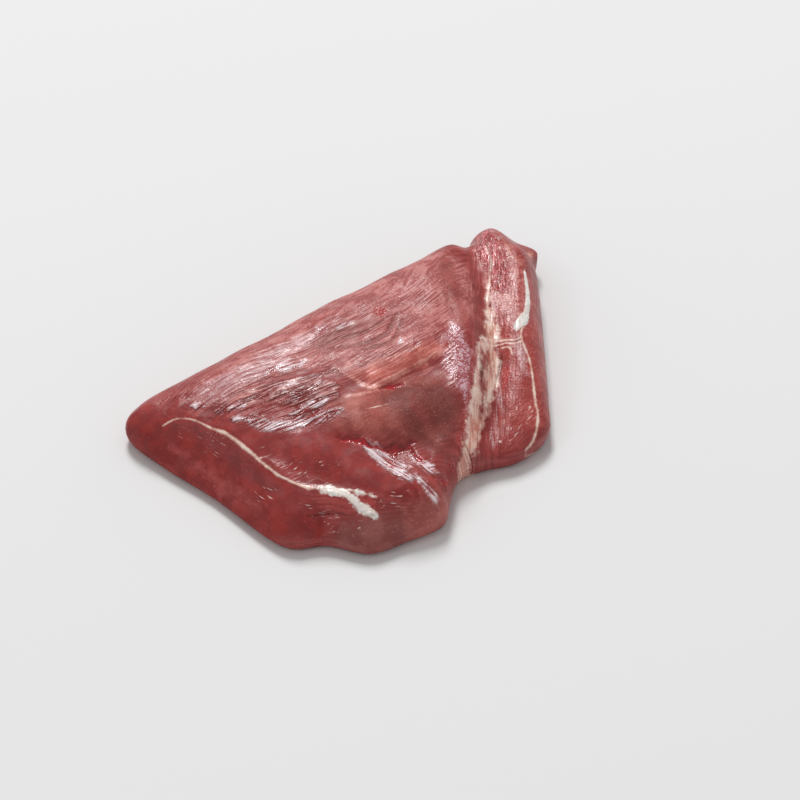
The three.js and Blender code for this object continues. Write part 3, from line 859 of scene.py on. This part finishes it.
box_middle = (loop[:, :2].max(0) + loop[:, :2].min(0)) / 2
metres = np.column_stack([x - box_middle[0], y - box_middle[1], z]) / 1000
skin = bpy.data.meshes.new("shoulder_skin")
skin.vertices.add(len(metres))
skin.vertices.foreach_set("co", metres.ravel())
skin.loops.add(len(corner_index))
skin.loops.foreach_set("vertex_index", corner_index)
skin.polygons.add(len(face_start))
skin.polygons.foreach_set("loop_start", face_start)
skin.update(calc_edges=True)
skin.shade_smooth()


def store(name, values):
    """Keep one number or one vector for each vertex in the mesh, under a name."""
    kind, key = ("FLOAT", "value") if values.ndim == 1 else ("FLOAT_VECTOR", "vector")
    skin.attributes.new(name, kind, "POINT").data.foreach_set(key, values.ravel().astype(np.float32))


for name, depth in depths.items():
    if name != "thread":
        store(name, depth)
for number, (across, half) in enumerate(threads):
    store(f"across_{number}", across)
    store(f"half_{number}", half)
store("grain", grain)
store("level_grain", level_grain)
store("cross_grain", cross_grain)
store("level_share", level_share)
store("cross_share", cross_share)
store("glint_dash_share", glint_dash_share)
store("coarse", np.maximum(coarse, 0.5 * cross_share))


# The finish: wet lean meat whose grain shows in its colour and its shine.
LEAN_DARK = (0.29, 0.024, 0.020)
LEAN_LIGHT = (0.37, 0.045, 0.039)
LEAN_GLOSS = 0.38
LEAN_FIBRE = 0.4
LEAN_GRIT = 0.2
# Painted shade for the gaps between fibre bundles, also the colour of the darker patches.
SHADE_AND_PATCH_RED = (0.19, 0.016, 0.014)
# Pale specks, partly painted glints.
SPECK_AND_GLINT_PINK = (0.74, 0.40, 0.37)
# Pale dashes painted as highlights.
GLINT_DASH_WHITE = (0.88, 0.66, 0.60)
# Below the first lightness a tissue shows its dark, above the second its light.
TINT_RAMP = (0.42, 0.58)
# How far a tissue's edge wanders and frays, for each millimetre of its ragged length.
WANDER = 4
FRAY = 1.5
LEAST_FRAY = 0.4
MOST_FRAY = 2.4
# How much of the clouds and of the larger patches the lightness takes.
CLOUDS = 0.35
PATCHES = 0.3
# How much of their colour the gaps, the dark patches, the specks and the dashes give; the gaps' is
# painted shade, the dashes are painted highlights and the specks partly painted glints.
GAP_SHADE_SHOWS = 0.9
DARK_SHOWS = 0.2
SPECK_AND_GLINT_SHOWS = 0.8
GLINT_DASH_SHOWS = 0.8
# Roughness where the skin is dry, above the tissue's own, and how much less it is where wet.
DRY_GLOSS = 0.06
WET_GLOSS = 0.13
# In metres, as the shader has it.
BUMP_DEPTH = 0.0012


class Socket:
    """A shader value that can stand in a Python expression."""

    def __init__(self, nodes, socket):
        self.nodes = nodes
        self.socket = socket

    def __add__(self, other):
        return self.nodes.math("ADD", self, other)

    def __sub__(self, other):
        return self.nodes.math("SUBTRACT", self, other)

    def __rsub__(self, other):
        return self.nodes.math("SUBTRACT", other, self)

    def __mul__(self, other):
        return self.nodes.math("MULTIPLY", self, other)

    def __abs__(self):
        return self.nodes.math("ABSOLUTE", self, 0.0)

    __radd__ = __add__
    __rmul__ = __mul__

    def step(self, low, high):
        """0 below low, 1 above high, and a smooth rise between them."""
        settings = {"interpolation_type": "SMOOTHSTEP"}
        return self.nodes.make("ShaderNodeMapRange", settings, {0: self, 1: low, 2: high})


class Nodes:
    """The nodes of one material."""

    def __init__(self, material):
        material.use_nodes = True
        self.tree = material.node_tree
        self.shader = self.tree.nodes["Principled BSDF"]

    def make(self, kind, settings, inputs, output=0):
        """One node: its settings first, then a value or a link for each input named or numbered."""
        made = self.tree.nodes.new(kind)
        for name, value in settings.items():
            setattr(made, name, value)
        for name, value in inputs.items():
            if isinstance(value, Socket):
                self.tree.links.new(value.socket, made.inputs[name])
            else:
                made.inputs[name].default_value = value
        return Socket(self, made.outputs[output])

    def math(self, operation, first, second):
        """One sum on two values."""
        return self.make("ShaderNodeMath", {"operation": operation}, {0: first, 1: second})

    def mix(self, share, first, second):
        """The colour that lies a share of the way from the first to the second."""
        colours = [c if isinstance(c, Socket) else (*c, 1.0) for c in (first, second)]
        inputs = {0: share, 6: colours[0], 7: colours[1]}
        return self.make("ShaderNodeMix", {"data_type": "RGBA"}, inputs, 2)

    def stored(self, name, output="Fac"):
        """What the mesh keeps for each vertex under a name."""
        return self.make("ShaderNodeAttribute", {"attribute_name": name}, {}, output)

    def streaks(self, field, length, width, detail, shift):
        """Noise from 0 to 1, drawn out to a length along a grain and a width across it."""
        place = self.make("ShaderNodeVectorMath", {"operation": "MULTIPLY_ADD"},
                          {0: field, 1: (1 / length, 1 / width, 0.0), 2: (shift, shift, 0.0)})
        settings = {"noise_dimensions": "2D"}
        inputs = {"Vector": place, "Scale": 1.0, "Detail": detail, "Roughness": 0.6}
        return self.make("ShaderNodeTexNoise", settings, inputs)

    def spots(self, size, detail, shift=0.0):
        """Noise from 0 to 1 in lumps of a size in millimetres."""
        place = self.make("ShaderNodeTexCoord", {}, {}, "Object")
        moved = self.make("ShaderNodeVectorMath", {"operation": "ADD"}, {0: place, 1: (shift, 0.0, 0.0)})
        inputs = {"Vector": moved, "Scale": 1000 / size, "Detail": detail, "Roughness": 0.6}
        return self.make("ShaderNodeTexNoise", {}, inputs)


raw_meat = bpy.data.materials.new("raw_meat")
nodes = Nodes(raw_meat)
fields = {name: nodes.stored(name, "Vector") for name in ("grain", "level_grain", "cross_grain")}
level = nodes.stored("level_share")
cross = nodes.stored("cross_share")


def with_grain(length, width, detail, shift=0.0):
    """Streaks along whichever grain the place has: those along the top, moved towards the level
    ones by the level share, and those towards the cross ones by the cross share."""
    runs = [nodes.streaks(field, length, width, detail, shift) for field in fields.values()]
    mostly = runs[0] + (runs[1] - runs[0]) * level
    return mostly + (runs[2] - mostly) * cross


fine = with_grain(length=8.0, width=1.1, detail=0.0)
broad = with_grain(length=18.0, width=2.1, detail=1.0, shift=3.7)
short = with_grain(length=3.6, width=0.62, detail=0.0, shift=5.1)
grains = nodes.spots(size=1.15, detail=1.0)
wander = nodes.spots(size=6.0, detail=3.0)
fray = nodes.spots(size=1.3, detail=2.0, shift=0.2)
wet = nodes.spots(size=7.0, detail=2.0, shift=0.3).step(0.40, 0.60)
patch = nodes.spots(size=15.0, detail=2.0, shift=0.6)
coarse_share = nodes.stored("coarse")

# How far inside each tissue a place lies, and for the threads how far inside the nearest one.
insides = {name: nodes.stored(name) for name in TISSUES if name != "thread"}
inside_threads = [nodes.stored(f"half_{number}") - abs(nodes.stored(f"across_{number}"))
                  for number in range(len(threads))]
insides["thread"] = inside_threads[0]
for inside in inside_threads[1:]:
    insides["thread"] = nodes.math("MAXIMUM", insides["thread"], inside)

# From that comes each tissue's share, which blends its gloss, its fibre and its grit over those
# of the tissues that lie under it.
gloss = LEAN_GLOSS
fibre = LEAN_FIBRE
grit = LEAN_GRIT
shares = {}
for name, tissue in TISSUES.items():
    frayed = min(MOST_FRAY, tissue["ragged"] * FRAY + LEAST_FRAY)
    edge = insides[name] + (wander - 0.5) * (tissue["ragged"] * WANDER) + (fray - 0.5) * frayed
    shares[name] = edge.step(-tissue["soft"], tissue["soft"])
    gloss = gloss + (tissue["gloss"] - gloss) * shares[name]
    fibre = fibre + (tissue["fibre"] - fibre) * shares[name]
    grit = grit + (tissue["grit"] - grit) * shares[name]
fibre = fibre * (coarse_share * 0.5 + 0.7)

# The lightness follows the streaks where there are fibres, clouds where there are hardly any, and
# the grains where there is grit. It has the most contrast in the fibre ridge.
streak = fine + (broad - fine) * (coarse_share * 0.3 + 0.4)
striped = (fibre * 3.0).step(0.0, 1.0)
cloudy = wander * 0.5 + 0.25
streak = cloudy + (streak - cloudy) * striped
lightness = streak + (grains - streak) * grit + (wander - 0.5) * CLOUDS + (patch - 0.5) * PATCHES
lightness = (lightness - 0.5) * (coarse_share * 0.9 + 1) + 0.5

# The colour: the lean's own, each tissue's over it, then painted shade in the gaps, dark patches,
# specks that are partly painted glints, and dashes painted as highlights.
colour = nodes.mix(lightness.step(*TINT_RAMP), LEAN_DARK, LEAN_LIGHT)
for name, tissue in TISSUES.items():
    tint = (lightness - tissue.get("thin", 0.0)).step(*TINT_RAMP)
    colour = nodes.mix(shares[name], colour, nodes.mix(tint, tissue["dark"], tissue["light"]))
# Painted shade in the gaps between fibre bundles.
gap_shade = (0.5 - broad).step(0.01, 0.10) * coarse_share * GAP_SHADE_SHOWS * fibre * (1 - shares["silver_sheen"])
colour = nodes.mix(gap_shade, colour, SHADE_AND_PATCH_RED)
lean = 1 - shares["fat"]
for name in ("cream", "white", "thread"):
    lean = lean * (1 - shares[name])
colour = nodes.mix((0.55 - patch).step(0.0, 0.14) * DARK_SHOWS * lean, colour, SHADE_AND_PATCH_RED)
# Pale specks, partly painted glints.
colour = nodes.mix(grains.step(0.68, 0.75) * grit * SPECK_AND_GLINT_SHOWS, colour, SPECK_AND_GLINT_PINK)
# Short pale dashes painted as highlights.
glint_dash = short.step(0.72, 0.82) * nodes.stored("glint_dash_share")
colour = nodes.mix(glint_dash * GLINT_DASH_SHOWS, colour, GLINT_DASH_WHITE)
gloss = gloss + DRY_GLOSS - wet * WET_GLOSS

# The bump: the fibres, the broad ones more and the fine ones less in the ridge, and the grains.
height = (broad * (coarse_share * 0.4 + 0.9) + fine * (0.55 - coarse_share * 0.2)) * fibre
height = height + grains * (fibre * 0.12 + grit * 0.25 + 0.02)
bump = nodes.make("ShaderNodeBump", {}, {"Height": height, "Strength": 1.0, "Distance": BUMP_DEPTH})
shader = nodes.shader.inputs
nodes.tree.links.new(colour.socket, shader["Base Color"])
nodes.tree.links.new(gloss.socket, shader["Roughness"])
nodes.tree.links.new(bump.socket, shader["Normal"])
shader["Subsurface Weight"].default_value = 0.12
shader["Subsurface Radius"].default_value = (1.0, 0.35, 0.25)
shader["Subsurface Scale"].default_value = 0.003
shader["Specular IOR Level"].default_value = 0.6
skin.materials.append(raw_meat)

shoulder = bpy.data.objects.new("shoulder_skin", skin)
bpy.context.scene.collection.objects.link(shoulder)
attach(shoulder, "root")
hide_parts("beef_shoulder")
